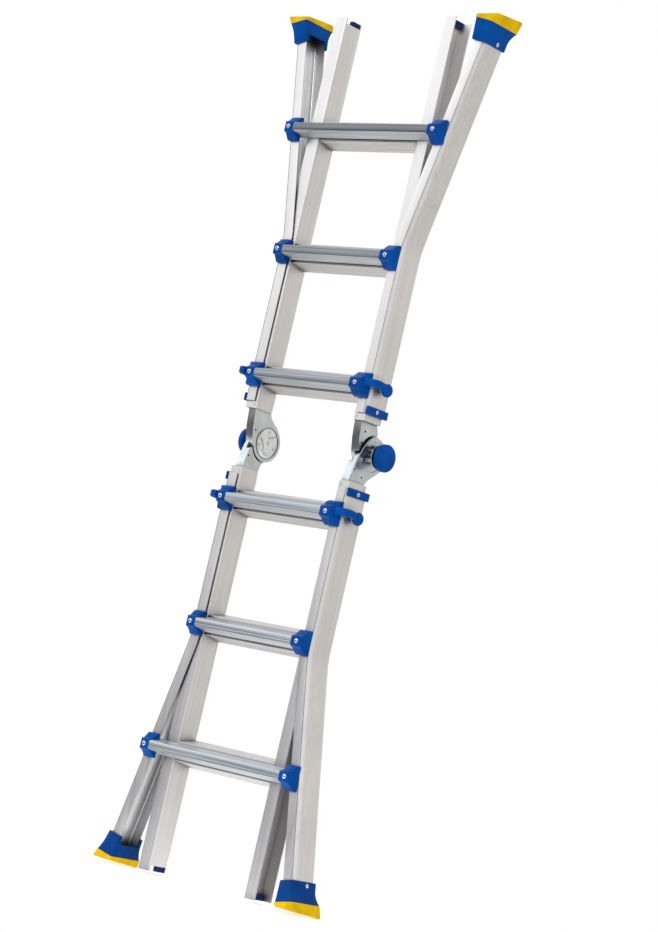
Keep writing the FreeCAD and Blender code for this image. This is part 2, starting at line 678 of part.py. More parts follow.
def make_lock_pin(doc):
    pin = make_pin(doc, "lower_lock_pin_right", "Dims.lock_radius",
                   "Dims.grip_inner + 0.65 * Dims.grip_thick - Dims.lock_tip",
                   ("Dims.lock_tip", "Dims.lock_back", level(LATCH)), ALONG_X)
    pin.Label = "lower_lock_pin_right"
    return pin


def make_spring(doc, name, radius, wire, length, place):
    """Compression spring along X, starting at place."""
    coil = doc.addObject("Part::Helix", name + "_coil")
    coil.setExpression("Radius", radius)
    coil.setExpression("Pitch", "0.3 * (%s)" % length)
    coil.setExpression("Height", length)
    coil.SegmentLength = 0.5
    section = doc.addObject("Part::Circle", name + "_section")
    section.setExpression("Radius", wire)
    section.Placement = FreeCAD.Placement(FreeCAD.Vector(), FreeCAD.Rotation(FreeCAD.Vector(1, 0, 0), 90))
    section.setExpression("Placement.Base.x", radius)
    sweep = doc.addObject("Part::Sweep", name)
    sweep.Sections = [section]
    sweep.Spine = (coil, [])
    sweep.Solid = True
    sweep.Frenet = True
    sweep.Placement = FreeCAD.Placement(FreeCAD.Vector(), ALONG_X)
    for axis, formula in zip("xyz", place):
        sweep.setExpression("Placement.Base." + axis, formula)
    return sweep


def make_hinge_rivets(doc):
    """Rivets that hold the tongue of a hinge member to the front flange of an inner rail."""
    members = []
    for number, drop in enumerate(RIVET_DROPS):
        height = PIVOT + " - (%s)" % drop
        name = "hinge_rivet_%d" % number
        head = make_pin(doc, name + "_head", "2 * Dims.stud_radius", "Dims.stud_head",
                        (RIVET_X, "Dims.inner_front - Dims.stud_head", height), ALONG_Y)
        shank = make_pin(doc, name + "_shank", "Dims.stud_radius", "Dims.stud_length",
                         (RIVET_X, "Dims.inner_front - 0.5 * Dims.stud_head", height), ALONG_Y)
        members.append(fuse(doc, name, [head, shank]))
    return members


def pair(doc, label, members):
    """A group of right hand solids together with their left hand images."""
    images = [mirror(doc, item, item.Label + "_left_image", ACROSS_X) for item in members]
    return group(doc, label, members + images)


def build_halves(doc):
    """Everything that the lower and the upper half share, lower half first."""
    sided = [make_outer_rail(doc), make_inner_rail(doc), make_boot(doc), make_sole(doc),
             make_lever(doc), make_lock_pin(doc)]
    lower = list(sided)
    for item in sided:
        lower.append(mirror(doc, item, item.Label.replace("right", "left"), ACROSS_X))
    for rung in (LATCH, PLAIN, FLARED):
        lower.append(make_outer_rung(doc, rung))
        lower.append(make_inner_rung(doc, rung))
    screws = [make_front_rivet(doc, rung) for rung in (LATCH, PLAIN, FLARED)]
    screws += [make_guide_screw(doc), make_boot_screw(doc)]
    lock_spring = make_spring(doc, "lock_spring", "7.6", "0.8", "7.5",
                              ("Dims.half_width + 1", "Dims.lock_back", level(LATCH)))
    lower += [
        pair(doc, "lower_latch_brackets", [make_bracket(doc, LATCH)]),
        pair(doc, "lower_plain_brackets", [make_bracket(doc, PLAIN), make_bracket(doc, FLARED)]),
        pair(doc, "lower_end_guides", [make_guide(doc)]),
        pair(doc, "lower_inserts", [make_insert(doc)]),
        pair(doc, "lower_fasteners", screws),
        pair(doc, "lower_hinge_rivets", make_hinge_rivets(doc)),
        pair(doc, "lower_lock_springs", [lock_spring]),
    ]
    upper = [mirror(doc, item, item.Label.replace("lower", "upper"), ACROSS_Z) for item in lower]
    return lower + upper


def build_hinges(doc):
    """Hinge members, pins, knobs, lock bolts and springs."""
    sided = [make_lower_hinge(doc), make_upper_hinge(doc), make_knob(doc), make_bolts(doc)]
    parts = list(sided)
    for item in sided:
        parts.append(mirror(doc, item, item.Label.replace("right", "left"), ACROSS_X))
    spring = make_spring(doc, "hinge_spring", "10.5", "0.9", "12",
                         ("Dims.member_outer + 1.2", "Dims.pivot_back", PIVOT))
    parts.append(pair(doc, "hinge_pins", [make_hinge_pin(doc)]))
    parts.append(pair(doc, "hinge_springs", [spring]))
    return parts


def check(doc):
    """Stop when any object failed to compute."""
    for item in doc.Objects:
        if "Invalid" in item.State or "Error" in item.State:
            raise RuntimeError("%s: %s" % (item.Label, item.State))


def export(parts):
    os.makedirs("parts", exist_ok=True)
    for part in parts:
        shape = part.Shape
        if shape.isNull() or not shape.isValid() or not shape.Solids:
            raise RuntimeError("bad shape: " + part.Label)
        shape.exportStep("parts/%s.step" % part.Label)


def main():
    doc = FreeCAD.newDocument("ladder")
    make_sheet(doc)
    parts = build_halves(doc) + build_hinges(doc)
    doc.recompute()
    check(doc)
    export(parts)


main()
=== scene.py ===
"""Looks of the telescopic multi position ladder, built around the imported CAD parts.

Frame: X to the right, Y to the back, Z up, floor at Z = 0.  Pieces are drawn in millimetres
for the lower right quarter of the ladder, then mirrored to the other side and other half.
"""
import json
import math

import bmesh
import bpy
from mathutils import Matrix, Vector

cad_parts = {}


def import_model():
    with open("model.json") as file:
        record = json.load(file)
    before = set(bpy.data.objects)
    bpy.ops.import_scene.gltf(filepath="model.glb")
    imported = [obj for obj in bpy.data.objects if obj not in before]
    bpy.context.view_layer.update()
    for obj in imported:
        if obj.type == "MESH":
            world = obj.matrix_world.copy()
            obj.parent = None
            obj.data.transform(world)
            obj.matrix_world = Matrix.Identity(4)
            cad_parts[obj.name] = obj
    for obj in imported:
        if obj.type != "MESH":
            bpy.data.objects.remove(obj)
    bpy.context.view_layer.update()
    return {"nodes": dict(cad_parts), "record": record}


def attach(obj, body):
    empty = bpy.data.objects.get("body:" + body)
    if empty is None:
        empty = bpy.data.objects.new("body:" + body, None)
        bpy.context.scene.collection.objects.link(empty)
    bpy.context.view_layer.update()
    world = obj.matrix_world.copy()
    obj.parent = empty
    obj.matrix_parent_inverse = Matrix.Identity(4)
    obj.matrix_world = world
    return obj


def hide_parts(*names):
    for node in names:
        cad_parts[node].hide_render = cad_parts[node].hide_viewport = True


# Camera: place in metres, lens and sensor in millimetres.
CAMERA_PLACE = (4.1175, -4.3677, 0.319)
CAMERA_FORWARD = (-0.67556, 0.73007, 0.10305)
CAMERA_RIGHT = (0.73103, 0.64505, 0.22251)
LENS = 107.82
SENSOR = 36.0

# Driving dimensions of the lower right quarter, in millimetres.  The rail bends round BEND_Z, where
# its two straight lines would meet, and the boot is hollowed up to its waist.
WALL = 2.5
PIVOT_Y, PIVOT_Z = 28.0, 971.0
RAIL_X, RAIL_FRONT, RAIL_BACK, RAIL_LIP = 180.0, -39.0, 26.0, 30.0
RAIL_TOP, BEND_TOP, BEND_Z, BEND_RADIUS = 889.0, 549.0, 524.0, 240.0
FLARE = math.radians(11.9)
FOOT_Z = 24.5
FOOT_X = RAIL_X + (BEND_Z - FOOT_Z) * math.tan(FLARE)
RAIL_END_GAP = 6.0
BOOT_TALL, BOOT_WAIST = 46.0, 27.0
ROCKER = 200.0
INNER_X, INNER_FRONT, INNER_BACK, INNER_LIP = 144.0, -34.0, 21.0, 32.0
INNER_TOP, INNER_END = 905.0, 7.0
LOCK_Y = -7.0

# Rungs, numbered from the hinge: height, half length of the outer one, and both sections.  RIVET_IN
# runs from the end of the rung to the rivet of its bracket.
LEVELS = {1: 831.0, 2: 551.0, 3: 271.0}
REACH = {1: 141.0, 2: 143.5, 3: 196.0}
RUNG_FRONT, RUNG_BACK = -68.5, -36.0
OUTER_RUNG = {"front": RUNG_FRONT, "back": RUNG_BACK, "face": 17.6, "tall": 34.4, "grooves": 6}
INNER_RUNG = {"front": -32.0, "back": 16.0, "face": 43.0, "tall": 61.5, "grooves": 8}
RIVET_IN = 15.5

# Planes along X of the hinge: the upper member laps inside the lower one, with a gap between them.
HINGE_IN, UPPER_LAP, LOWER_LAP, HINGE_OUT = 147.0, 157.2, 158.4, 167.5
CAP_X, KNOB_X, HUB_X = 147.1, 196.0, 182.0

SIDES = {"right": 1, "left": -1}
HALVES = ("lower", "upper")
NO_SIDE = {"": 1}
X_AXIS, Y_AXIS = (1, 0, 0), (0, 1, 0)
SHARP_ANGLE = math.radians(35)
TIP_RADIUS = 0.02


# ---------------------------------------------------------------- shapes

def rounded(corners, radius, steps=3):
    """Closed outline with each corner replaced by a short curve; a corner may carry its own radius."""
    outline = []
    count = len(corners)
    for number, corner in enumerate(corners):
        here = Vector(corner[:2])
        before = Vector(corners[number - 1][:2])
        after = Vector(corners[(number + 1) % count][:2])
        reach = corner[2] if len(corner) > 2 else radius
        reach = min(reach, 0.45 * (here - before).length, 0.45 * (after - here).length)
        start = here + (before - here).normalized() * reach
        end = here + (after - here).normalized() * reach
        for step in range(steps + 1):
            share = step / steps
            outline.append(start.lerp(here, share).lerp(here.lerp(end, share), share))
    return outline


def rectangle(left, low, right, high):
    return [(left, low), (right, low), (right, high), (left, high)]


def circle(across, up, radius, steps):
    turn = 2 * math.pi / steps
    return [Vector((across + radius * math.cos(turn * k), up + radius * math.sin(turn * k)))
            for k in range(steps)]


def skin(bm, rings):
    """Closed solid through rings that all have the same number of points."""
    rows = [[bm.verts.new(point) for point in ring] for ring in rings]
    count = len(rows[0])
    for row, following in zip(rows, rows[1:]):
        for k in range(count):
            after = (k + 1) % count
            bm.faces.new((row[k], row[after], following[after], following[k]))
    bm.faces.new(list(reversed(rows[0])))
    bm.faces.new(rows[-1])


# The next three place a flat outline in a plane of constant X, Y or Z.

def along_x(outline, x):
    return [(x, p[0], p[1]) for p in outline]


def along_y(outline, y):
    return [(p[0], y, p[1]) for p in outline]


def along_z(outline, z):
    return [(p[0], p[1], z) for p in outline]


def prism(bm, place, outline, start, end):
    """Straight bar between two planes; place is one of the three functions above."""
    skin(bm, [place(outline, start), place(outline, end)])


def resized(outline, centre, scale):
    """Outline scaled about a point of its own plane."""
    return [Vector(centre) + (point - Vector(centre)) * scale for point in outline]


def lathe(bm, profile, origin, axis, steps):
    """Solid of revolution; the profile is a list of (distance along the axis, radius)."""
    axis = Vector(axis).normalized()
    side = axis.orthogonal().normalized()
    other = axis.cross(side)
    rings = []
    for distance, radius in profile:
        centre = Vector(origin) + axis * distance
        rings.append([centre + (side * math.cos(t) + other * math.sin(t)) * max(radius, TIP_RADIUS)
                      for t in (2 * math.pi * k / steps for k in range(steps))])
    skin(bm, rings)


def tube(bm, path, width, height):
    """Bar with a rounded rectangular section along a path of (place, scale)."""
    rings = []
    for number, (place, scale) in enumerate(path):
        before = Vector(path[max(number - 1, 0)][0])
        after = Vector(path[min(number + 1, len(path) - 1)][0])
        ahead = (after - before).normalized()
        side = Vector((0, 0, 1)).cross(ahead).normalized()
        half_w, half_h = 0.5 * width * scale, 0.5 * height * scale
        corners = rectangle(-half_w, -half_h, half_w, half_h)
        section = rounded(corners, 0.45 * min(width, height) * scale, 6)
        rings.append([Vector(place) + side * p[0] + Vector((0, 0, p[1])) for p in section])
    skin(bm, rings)


def shape(build):
    """Mesh filled by one builder function, with its faces turned outwards."""
    bm = bmesh.new()
    build(bm)
    bmesh.ops.recalc_face_normals(bm, faces=bm.faces)
    return bm


def carve(bm, cutter):
    """Remove the closed solid in cutter from the one in bm."""
    objects = []
    for name, source in (("carved", bm), ("cutter", cutter)):
        mesh = bpy.data.meshes.new(name)
        source.to_mesh(mesh)
        source.free()
        thing = bpy.data.objects.new(name, mesh)
        bpy.context.scene.collection.objects.link(thing)
        objects.append(thing)
    body, tool = objects
    change = body.modifiers.new("cut", "BOOLEAN")
    change.operation = "DIFFERENCE"
    change.solver = "EXACT"
    change.use_self = True
    change.object = tool
    graph = bpy.context.evaluated_depsgraph_get()
    result = bmesh.new()
    mesh = body.evaluated_get(graph).to_mesh()
    result.from_mesh(mesh)
    body.evaluated_get(graph).to_mesh_clear()
    for thing in objects:
        bpy.data.objects.remove(thing)
    return result


# ---------------------------------------------------------------- pieces

def make_object(name, bm, matrix, material, bevel):
    """Object with a transformed copy of bm; bevel is the width of softened edges in millimetres."""
    copy = bm.copy()
    bmesh.ops.transform(copy, matrix=matrix, verts=copy.verts)
    if matrix.determinant() < 0:
        bmesh.ops.reverse_faces(copy, faces=copy.faces)
    mesh = bpy.data.meshes.new(name)
    copy.to_mesh(mesh)
    copy.free()
    mesh.materials.append(material)
    mesh.shade_smooth()
    mesh.set_sharp_from_angle(angle=SHARP_ANGLE)
    thing = bpy.data.objects.new(name, mesh)
    bpy.context.scene.collection.objects.link(thing)
    if bevel:
        soften = thing.modifiers.new("soften", "BEVEL")
        soften.width = bevel * 0.001
        soften.segments = 2
        soften.limit_method = "ANGLE"
        soften.angle_limit = SHARP_ANGLE
        soften.harden_normals = True
    return thing


def placing(side, half):
    """From lower right millimetres to metres on one side of one half."""
    flip = -1 if half == "upper" else 1
    shift = 2 * PIVOT_Z if half == "upper" else 0
    move = Matrix.Translation((0, 0, 0.001 * shift))
    return move @ Matrix.Diagonal((0.001 * side, 0.001, 0.001 * flip, 1))


def add(bm, node, body, paints, slot, look=None, bevel=0, sides=SIDES, halves=HALVES, suffix=""):
    """One piece per side and half; node and body hold {half} and {side}.

    The paint has the name of the slot unless look names another one.
    """
    material = paints[look or slot]
    for half in halves:
        for side, sign in sides.items():
            cad = node.format(half=half, side=side)
            name = cad + suffix + ("" if "{side}" in node else "_" + side) + "_look"
            thing = make_object(name, bm, placing(sign, half), material, bevel)
            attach(thing, body.format(half=half, side=side))
            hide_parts(cad)
    bm.free()


# ---------------------------------------------------------------- rails and rungs

def flare_ring(section, turn, slide=0.0):
    """Ring of a rail section, measured from the outer face, turned by the flare so far.

    It can slide along the rail, downwards for a positive distance.
    """
    centre = Vector((RAIL_X + BEND_RADIUS, 0, BEND_TOP))
    out = Vector((math.cos(turn), 0, math.sin(turn)))
    down = Vector((math.sin(turn), 0, -math.cos(turn)))
    base = centre - out * BEND_RADIUS + down * slide
    return [base + out * p[0] + Vector((0, p[1], 0)) for p in section]


def outer_section():
    """C section open inwards, across from the outer face, with line grooves, bevels and inner ribs."""
    front, back, lip = RAIL_FRONT, RAIL_BACK, -RAIL_LIP
    front_groove = [(-6.8, front, 0.2), (-6.6, front + 1.2, 0.2), (-5.3, front + 1.2, 0.2)]
    front_bevel = [(-5.1, front, 0.4), (0, front + 9, 1.6)]
    web_groove = [(0, back - 9.2, 0.2), (-0.5, back - 8.9, 0.1), (-0.5, back - 8.0, 0.1),
                  (0, back - 7.7, 0.2)]
    back_bevel = [(0, back - 4.5, 1.6), (-4.5, back, 1.6)]
    inside_back = [(lip, back), (lip, back - WALL), (-4.2, back - WALL), (-WALL, back - 4.2)]
    inside_front = [(-WALL, front + 8), (-5.5, front + WALL), (lip, front + WALL)]
    ribs = []
    for share in (0.74, 0.66, 0.34, 0.26):
        middle = front + share * (back - front)
        ribs += [(-WALL, middle + 1.1, 0.1), (-3.3, middle + 0.8, 0.2), (-3.3, middle - 0.8, 0.2),
                 (-WALL, middle - 1.1, 0.1)]
    outside = [(lip, front)] + front_groove + front_bevel + web_groove + back_bevel
    return rounded(outside + inside_back + ribs + inside_front, 0.7, 2)


def outer_rail(bm):
    """Straight near the hinge, then one bend, then the flare down into the boot."""
    section = outer_section()
    bend_steps = 8
    rings = [flare_ring(section, 0, BEND_TOP - RAIL_TOP), flare_ring(section, 0)]
    rings += [flare_ring(section, FLARE * k / bend_steps) for k in range(1, bend_steps + 1)]
    bend_x = RAIL_X + BEND_RADIUS * (1 - math.cos(FLARE))
    length = (FOOT_X - bend_x) / math.sin(FLARE) - RAIL_END_GAP
    rings.append(flare_ring(section, FLARE, length))
    skin(bm, rings)


def inner_rail(bm):
    """C section open outwards, with bevelled corners and a line groove along the web."""
    x, front, back = INNER_X, INNER_FRONT, INNER_BACK
    inside, lip = x + WALL, x + INNER_LIP
    corners = [(inside, front, 1.2), (lip, front), (lip, front + WALL), (inside, front + WALL),
               (inside, back - WALL), (lip, back - WALL), (lip, back), (inside, back, 1.2),
               (x, back - WALL, 1.2), (x, back - 6.6, 0.2), (x + 0.5, back - 6.9, 0.1),
               (x + 0.5, back - 7.6, 0.1), (x, back - 7.9, 0.2), (x, front + WALL, 1.2)]
    prism(bm, along_z, rounded(corners, 0.6, 2), INNER_END, INNER_TOP)


def rail_cover(bm):
    """Closed outer side of the inner rail over the hinge tongue."""
    corners = rectangle(INNER_FRONT + 2, INNER_TOP - 56, INNER_BACK - 2, INNER_TOP)
    outer_face = INNER_X + INNER_LIP - 0.5
    prism(bm, along_x, rounded(corners, 0.5), outer_face - 3, outer_face)


def rail_notch(bm):
    """Notch in the web at the free end of the inner rail."""
    corners = rectangle(INNER_FRONT + 5, INNER_END - 1, INNER_BACK - 5, INNER_END + 12)
    prism(bm, along_x, rounded(corners, 0.5), INNER_X - 1, INNER_X + 4)


def tread_line(front, back, low, high, grooves):
    """Points from front to back along a sloped tread with shallow grooves cut into it."""
    points = []
    edge = 2.0
    pitch = (back - front - 2 * edge) / grooves
    for k in range(grooves):
        start = front + edge + pitch * (k + 0.35)
        for across, depth in ((0, 0), (0.25, 0.5), (1.0, 0.5), (1.25, 0)):
            y = start + across
            share = (y - front) / (back - front)
            points.append((y, low + (high - low) * share - depth, 0.12))
    return points


def rung(height, reach, front, back, face, tall, grooves):
    """Rung: face is its height in front and tall its height behind, with grooved treads between."""
    def build(bm):
        low = 0.5 * face
        high = 0.5 * tall
        tread = tread_line(front, back, low, high, grooves)
        upper = [(front, low, 1.6)] + tread + [(back, high, 1.2)]
        lower = [(p[0], -p[1], p[2]) for p in reversed(upper)]
        line = -0.25 * face
        face_groove = [(front, line, 0.1), (front + 0.35, line + 0.5, 0.1),
                       (front + 0.35, line + 1.1, 0.1), (front, line + 1.6, 0.1)]
        outline = rounded(upper + lower + face_groove, 0.3, 2)
        outline = [Vector((p[0], p[1] + height)) for p in outline]
        prism(bm, along_x, outline, -reach, reach)
    return build


# ---------------------------------------------------------------- brackets, levers, screws

def bracket_outline(height, dome):
    """Side view of a bracket; the latch brackets have a domed top."""
    front, back = RUNG_FRONT, RAIL_FRONT
    if dome:
        top = [(front + 8, 13.5, 5), (back - 14, 23.5, 8), (back - 5, 27, 6)]
    else:
        top = [(front + 8, 12.5, 3), (back - 7, 26.8, 4)]
    bottom = [(back - 7, -26.8, 4), (front + 8, -13.5, 4)]
    corners = [(front, -11, 3), (front, 11, 3)] + top + [(back, 27, 1), (back, -27, 1)] + bottom
    return [Vector((p[0], p[1] + height)) for p in rounded(corners, 2, 4)]


def bracket(number):
    """Side outline from the rung to the rail's outer face, slanted off at the outer front corner."""
    def build(bm):
        inner, height = REACH[number], LEVELS[number]
        latch = number == 1
        outer = inner + (37.0 if latch else 30.5)
        outline = bracket_outline(height, latch)
        middle = (RAIL_FRONT - 8, height)
        rings = []
        for x, scale, slant in ((inner, 0.97, 0), (inner + 1.2, 1, 0), (inner + 25, 1, 0),
                                (inner + 27, 1, 2), (outer - 1.2, 1, 18), (outer, 0.96, 20)):
            ring = [(x, max(p[0], RUNG_FRONT + slant), p[1]) for p in resized(outline, middle, scale)]
            rings.append(ring)
        skin(bm, rings)
    return build


def rivet_seat(number):
    """Recess and hole for the rivet in the front of a bracket."""
    def build(bm):
        place = (REACH[number] + RIVET_IN, RUNG_FRONT - 1, LEVELS[number])
        lathe(bm, [(0, 6.2), (1.6, 6.2), (1.6, 2.6), (14, 2.6)], place, Y_AXIS, 32)
    return build


def front_rivet(number):
    """Domed blind rivet with its hollow centre."""
    def build(bm):
        place = (REACH[number] + RIVET_IN, RUNG_FRONT + 0.5, LEVELS[number])
        profile = [(10, 2.4), (0, 2.4), (0, 5.2), (-0.7, 5.1), (-1.4, 4.1), (-1.75, 2.7), (-1.3, 2.1),
                   (0.6, 1.9), (0.6, 0)]
        lathe(bm, profile, place, Y_AXIS, 28)
    return build


def pan_screw(origin, axis):
    """Screw with a domed head and a plain round recess."""
    def build(bm):
        profile = [(-3, 2.3), (0, 2.3), (0, 4.5), (0.7, 4.4), (1.3, 3.2), (1.5, 1.9), (0.6, 1.6), (0.6, 0)]
        lathe(bm, profile, origin, axis, 28)
    return build


def lever(lift):
    """Horn shaped arm that leaves the bracket, runs beside the rail and curls into a round grip.

    The arm starts lifted away from the middle of the bracket and comes back to it at the grip.
    """
    def build(bm):
        z = LEVELS[1] + lift
        path = [((178.8, -57.5, z), 0.85), ((186, -58.5, z), 0.9), ((194, -55, z), 0.95),
                ((199, -47, z), 1.0), ((200, -37, z), 1.0), ((199.5, -27, z - 0.2 * lift), 1.0),
                ((199, -17, z - 0.6 * lift), 1.0), ((198.4, -9, z - lift), 1.0)]
        tube(bm, path, 9.5, 17)
        profile = [(0, 9), (0.6, 11), (3, 13.6), (6.5, 14.6), (10, 14.2), (13, 12.2), (14.6, 9),
                   (15, 6), (14.2, 3), (13.9, 0)]
        lathe(bm, profile, (190, LOCK_Y, LEVELS[1] - 0.2 * lift), X_AXIS, 40)
    return build


def end_guide(bm):
    """Band that caps the hinge end of the outer web, with a thin lip over the rail's end."""
    x, top = RAIL_X, RAIL_TOP
    play = 0.02
    corners = [(x - WALL, top + play), (x - play, top + play), (x - play, top - 16, 0.4),
               (x + 3.5, top - 16, 1.0), (x + 3.5, top + 1.5, 1.0), (x - WALL, top + 1.5, 0.5)]
    outline = rounded(corners, 0.2, 3)
    middle = (x + 1.5, top - 8)
    skin(bm, [along_y(resized(outline, middle, s), y) for y, s in
              ((RAIL_FRONT + 1, 0.96), (RAIL_FRONT + 2, 1), (RAIL_BACK + 2, 1), (RAIL_BACK + 3, 0.96))])


def insert(bm):
    """Block inside the free end of an inner rail, in the back half of its section."""
    corners = rectangle(INNER_FRONT + 26, INNER_END, INNER_BACK - 3.5, INNER_END + 13)
    prism(bm, along_x, rounded(corners, 1.2, 3), INNER_X + WALL + 0.1, INNER_X + 12)


# ---------------------------------------------------------------- feet

def flared(point):
    """From boot coordinates (outwards, back, up along the rail) to the frame."""
    u, y, h = point
    return Vector((FOOT_X + u * math.cos(FLARE) - h * math.sin(FLARE), y,
                   FOOT_Z + u * math.sin(FLARE) + h * math.cos(FLARE)))


def boot_ring(height, radius, shrink=0.0):
    """Section of the boot: even taper inside and in front, hollow flare outside and behind."""
    taper = 1 - height / BOOT_TALL
    hollow = max(0.0, 1 - height / BOOT_WAIST) ** 1.7
    left, right = -35 - 3.5 * taper + shrink, 3 + 6 * hollow - shrink
    front, back = -44.5 - 8 * taper + shrink, 29 + 9 * hollow - shrink
    outline = rounded(rectangle(left, front, right, back), radius, 5)
    return [flared((p[0], p[1], height)) for p in outline]


def boot(bm):
    """Rings lie close together below the waist, where the flare curves; the top edge is softened."""
    rings = [boot_ring(height, 4.0) for height in (0, 3, 6, 10, 14, 18, 22, BOOT_WAIST, BOOT_TALL - 1)]
    skin(bm, rings + [boot_ring(BOOT_TALL, 3.6, 0.7)])


def boot_socket(bm):
    """Room in the boot for the end of the rail, with a little play around it."""
    play = 0.3
    corners = rectangle(-RAIL_LIP - play, RAIL_FRONT - play, play, RAIL_BACK + play)
    outline = rounded(corners, 2, 3)
    skin(bm, [[flared((p[0], p[1], height)) for p in outline] for height in (5, 60)])


def boot_window(bm):
    """Opening in the inner side of the boot, in front of the open side of the rail."""
    outline = rounded(rectangle(-36, 27, 21, 60), 4, 4)
    skin(bm, [[flared((u, p[0], p[1])) for p in outline] for u in (-60, -27)])


def sole(bm):
    """Rubber tread between the slanting boot and the floor, with a rocker from front to back."""
    top = rounded(rectangle(-40.5, -54, 9.5, 39), 6, 5)
    middle_u, middle_y = -17, -7.5
    middle_x, rocker_y, spread = FOOT_X - 11, 10, 1.14
    rings = []
    for share in (0, 0.04, 0.25, 0.5, 0.75, 0.93, 1):
        inset = 0.965 if share == 1 else 1
        ring = []
        for p in top:
            x = middle_x + (p[0] - middle_u) * spread * inset
            y = middle_y + (p[1] - middle_y) * inset
            rise = ROCKER - 0.6 - math.sqrt(ROCKER ** 2 - (y - rocker_y) ** 2)
            low = Vector((x, y, max(rise, 0.0) + 0.02))
            ring.append(flared((p[0], p[1], 0)).lerp(low, share))
        rings.append(ring)
    skin(bm, rings)


# ---------------------------------------------------------------- hinges

def hinge_arc(radius, start, end, steps):
    """Points around the hinge pin as (y, distance below it)."""
    angles = [math.radians(start + (end - start) * k / steps) for k in range(steps + 1)]
    return [(PIVOT_Y + radius * math.cos(t), radius * math.sin(t)) for t in angles]


def hinge_prism(bm, corners, start, end, radius=1.5):
    """Plate between two planes along X; its corners are (y, distance below the hinge pin)."""
    outline = [Vector((p[0], PIVOT_Z - p[1])) for p in rounded(corners, radius, 3)]
    prism(bm, along_x, outline, start, end)


def tongue(bm):
    """Part of a hinge member that sits inside the inner rail."""
    hinge_prism(bm, rectangle(-30, 64, 17, 118), HINGE_IN + 0.2, HINGE_OUT + 1)


def upper_member(bm):
    """Inner plate with the round end, the box beside it that fills the rail, and the tongue."""
    plate = [(-30.5, 66, 1), (-27, 30, 6), (-20, -2, 6)] + hinge_arc(42, 205, 395, 30)
    plate += [(52, 37, 6), (37, 47, 8), (26, 55, 8), (21, 64, 3), (20, 66, 1)]
    hinge_prism(bm, plate, HINGE_IN, UPPER_LAP)
    box = [(-30.5, 66), (-27, 30), (-21, 2)] + hinge_arc(46, 177, 88, 14) + [(25, 57), (20, 66)]
    hinge_prism(bm, box, UPPER_LAP, HINGE_OUT, 0.8)
    tongue(bm)


def lower_member(bm):
    """Outer plate with the round end; a round rim runs along its slanting front edge."""
    slope = [(-30.5, 66, 1), (-29, 50, 8), (-20, 15, 6), (-9, -12, 8), (2, -29, 6), (14, -39, 6)]
    plate = slope + hinge_arc(42, -100, 40, 24) + [(50, 36, 6), (36, 46, 8), (25, 56, 8), (20, 66, 1)]
    hinge_prism(bm, plate, LOWER_LAP, HINGE_OUT)
    block = [(-30.5, 66), (-29, 50), (-22, 22)] + hinge_arc(46, 158, 92, 12) + [(22, 56), (20, 66)]
    hinge_prism(bm, block, HINGE_IN, LOWER_LAP, 0.8)
    tongue(bm)
    rim = [(-27, 52), (-23.5, 35), (-18, 15), (-7.5, -11), (3.5, -27.5), (15, -37), (27, -40.5)]
    rim = [Vector((HINGE_OUT + 0.5, across, PIVOT_Z - down)) for across, down in rim]
    for start, end in zip(rim, rim[1:]):
        lathe(bm, [(0, 1.4), ((end - start).length, 1.4)], start, end - start, 10)


def member_holes(half):
    """What is cut from a hinge member: small holes, and a round recess or a groove around the pin."""
    def build(bm):
        hole = [(0, 2.2), (30, 2.2)]
        if half == "lower":
            lathe(bm, hole, (HINGE_IN - 5, -20, PIVOT_Z - 38), X_AXIS, 20)
            recess = [(0, 33), (0.8, 34), (6, 35)]
            lathe(bm, recess, (HINGE_OUT - 2.2, PIVOT_Y, PIVOT_Z), X_AXIS, 56)
            lathe(bm, hole, (HINGE_OUT - 5.5, 8, PIVOT_Z - 50), X_AXIS, 20)
        else:
            lathe(bm, hole, (HINGE_IN - 5, -16, PIVOT_Z - 21), X_AXIS, 20)
            lathe(bm, [(0, 2.6), (6, 2.6)], (HINGE_OUT - 3.5, -12, PIVOT_Z - 46), X_AXIS, 20)
            ring_groove(bm)
    return build


def ring_groove(bm):
    """Pressed groove around the cap, cut from the inner face."""
    steps = 64
    outside, bottom = HINGE_IN - 1, HINGE_IN + 1.6
    section = [(outside, 35.6), (bottom, 35.2), (bottom, 33.0), (outside, 32.4)]
    rows = []
    for x, radius in section:
        rows.append([bm.verts.new((x, p.x, p.y)) for p in circle(PIVOT_Y, PIVOT_Z, radius, steps)])
    for row, following in zip(rows, rows[1:] + rows[:1]):
        for k in range(steps):
            after = (k + 1) % steps
            bm.faces.new((row[k], row[after], following[after], following[k]))


def hinge_cap(bm):
    """Cap over the hinge pin, domed at its edge."""
    lathe(bm, [(0, 31.8), (0.9, 31.6), (1.6, 30.6), (2.6, 28.6), (3.3, 22), (3.6, 0)],
          (CAP_X, PIVOT_Y, PIVOT_Z), (-1, 0, 0), 56)


def cap_marks(bm):
    """Studs and ribs that stand out of the hinge cap."""
    for across, up in ((-2, -25), (-25, 8), (20, 9), (-5, 23)):
        lathe(bm, [(0, 2.6), (3.6, 2.6), (4.4, 1.7), (4.6, 0)],
              (CAP_X, PIVOT_Y + across, PIVOT_Z + up), (-1, 0, 0), 16)
    ribs = [((-25, -8), (-11, 10)), ((-11, 10), (-11, 20)), ((-1, -12), (23, -20)), ((0, -5), (0, 5))]
    for first, last in ribs:
        span = Vector(last) - Vector(first)
        start = (CAP_X - 3.5, PIVOT_Y + first[0], PIVOT_Z + first[1])
        lathe(bm, [(0, 1.0), (0.4, 1.6), (span.length - 0.4, 1.6), (span.length, 1.0)], start,
              (0, span.x, span.y), 10)


